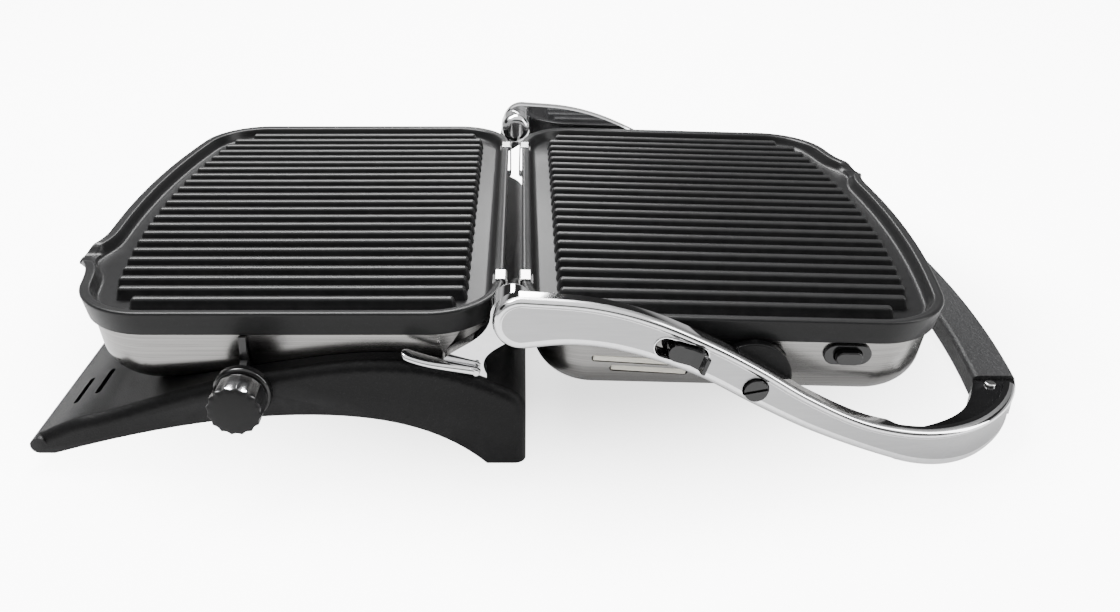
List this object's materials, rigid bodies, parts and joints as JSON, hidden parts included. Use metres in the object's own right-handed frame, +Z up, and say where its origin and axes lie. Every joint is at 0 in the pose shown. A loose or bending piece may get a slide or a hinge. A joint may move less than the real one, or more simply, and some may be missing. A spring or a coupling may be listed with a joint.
{
  "type": "contact grill",
  "caption": "Countertop contact grill opened flat: ribbed cooking plates, arched base, chrome arms joined by a curved grip, tilting lid, temperature knob",
  "frame": {"origin": "on the counter, at the underside of the rear foot strip, straight below the middle of the hinge axis", "axes": "+X from the hinge towards the opened lid and its grip, +Y along the hinge away from the knob, +Z up"},
  "size_m": [0.534, 0.3388, 0.1011],
  "materials": {
    "moulded_black": "finely textured",
    "foot_rubber": "matt",
    "zinc_plate": "plain",
    "terminal_white": "plain",
    "wire_sleeve": "glass-braid sleeve",
    "chrome_trim": "polished",
    "gloss_black": "gloss, fluted",
    "bush_plastic": "plain",
    "brushed_shell": "brushed",
    "plate_coating": "dark non-stick coat",
    "arm_chrome": "satin face with polished borders",
    "grip_black": "textured top",
    "conduit_rubber": "ribbed",
    "reflector_aluminium": "bright",
    "element_sheath": "heat-tinted"
  },
  "bodies": {
    "base": {"base_housing": "moulded_black", "base_cover": "moulded_black", "rear_foot_strip": "foot_rubber", "front_foot_pads": "foot_rubber", "pan_posts": "zinc_plate", "base_screws": "zinc_plate", "cord_gland": "moulded_black", "terminal_block": "terminal_white", "base_wiring": "wire_sleeve", "thermostat": "terminal_white", "thermal_cutout": "terminal_white", "knob_bezel": "chrome_trim", "sensor_cover": "gloss_black", "hinge_bracket_near": "chrome_trim", "hinge_bracket_far": "chrome_trim", "hinge_pins": "zinc_plate", "lever_pin": "zinc_plate", "lower_pan": "brushed_shell", "lower_reflector": "reflector_aluminium", "lower_element": "element_sheath", "lower_element_saddles": "zinc_plate", "lower_element_caps": "terminal_white", "lower_release_bezel": "gloss_black", "lower_release_spring": "zinc_plate", "lower_plate_clips": "zinc_plate"},
    "arms": {"arm_near": "arm_chrome", "arm_far": "arm_chrome", "hinge_bushes": "bush_plastic", "pivot_bushes": "bush_plastic", "grip": "grip_black", "grip_ends": "gloss_black", "grip_screws": "zinc_plate", "conduit_collar": "moulded_black", "power_conduit": "conduit_rubber"},
    "lid": {"lid_shell": "brushed_shell", "pivot_block_near": "moulded_black", "pivot_block_far": "moulded_black", "pivot_screws": "gloss_black", "conduit_gland": "moulded_black", "lid_terminals": "terminal_white", "lid_wiring": "wire_sleeve", "upper_reflector": "reflector_aluminium", "upper_element": "element_sheath", "upper_element_saddles": "zinc_plate", "upper_element_caps": "terminal_white", "upper_release_bezel": "gloss_black", "upper_release_spring": "zinc_plate", "upper_plate_clips": "zinc_plate"},
    "lower_plate": {"lower_plate": "plate_coating"},
    "upper_plate": {"upper_plate": "plate_coating"},
    "knob": {"knob": "gloss_black", "thermostat_shaft": "zinc_plate"},
    "release_lever": {"release_lever": "chrome_trim"},
    "lock_slide": {"lock_slide": "gloss_black"},
    "lower_release": {"lower_release_button": "gloss_black", "lower_release_latch": "zinc_plate"},
    "upper_release": {"upper_release_button": "gloss_black", "upper_release_latch": "zinc_plate"}
  },
  "joints": [
    {"name": "arm_hinge", "type": "hinge", "parent": "base", "child": "arms", "pos_m": [0, 0, 0.087], "axis": [0, -1, 0], "range_deg": [0, 181.6]},
    {"name": "lid_tilt", "type": "hinge", "parent": "arms", "child": "lid", "pos_m": [0.119, 0, 0.051], "axis": [0, 1, 0], "range_deg": [-6, 0], "deforming": ["power_conduit"]},
    {"name": "lower_plate_lift", "type": "hinge", "parent": "base", "child": "lower_plate", "pos_m": [-0.0095, 0, 0.084], "axis": [0, -1, 0], "range_deg": [-25, 0]},
    {"name": "upper_plate_lift", "type": "hinge", "parent": "lid", "child": "upper_plate", "pos_m": [0.00941, 0, 0.08374], "axis": [0, 1, 0], "range_deg": [-25, 0]},
    {"name": "knob_turn", "type": "hinge", "parent": "base", "child": "knob", "pos_m": [-0.134, -0.165, 0.046], "axis": [0, -1, 0], "range_deg": [0, 270]},
    {"name": "release_lever_lift", "type": "hinge", "parent": "base", "child": "release_lever", "pos_m": [-0.018, -0.152, 0.0556], "axis": [0, 1, 0], "range_deg": [0, 12], "stiffness_Nm_per_rad": 0.05, "springref_deg": -11.46},
    {"name": "lock_slide_travel", "type": "slide", "parent": "arms", "child": "lock_slide", "axis": [-0.9563, 0, 0.2924], "range_m": [0, 0.006]},
    {"name": "lower_release_press", "type": "slide", "parent": "base", "child": "lower_release", "axis": [0, -0.9945, 0.1045], "range_m": [0, 0.003], "stiffness_N_per_m": 400, "springref_m": -0.002, "deforming": ["lower_release_spring"]},
    {"name": "upper_release_press", "type": "slide", "parent": "lid", "child": "upper_release", "axis": [0.0029, 0.9945, 0.1045], "range_m": [0, 0.003], "stiffness_N_per_m": 400, "springref_m": -0.002, "deforming": ["upper_release_spring"]}
  ]
}
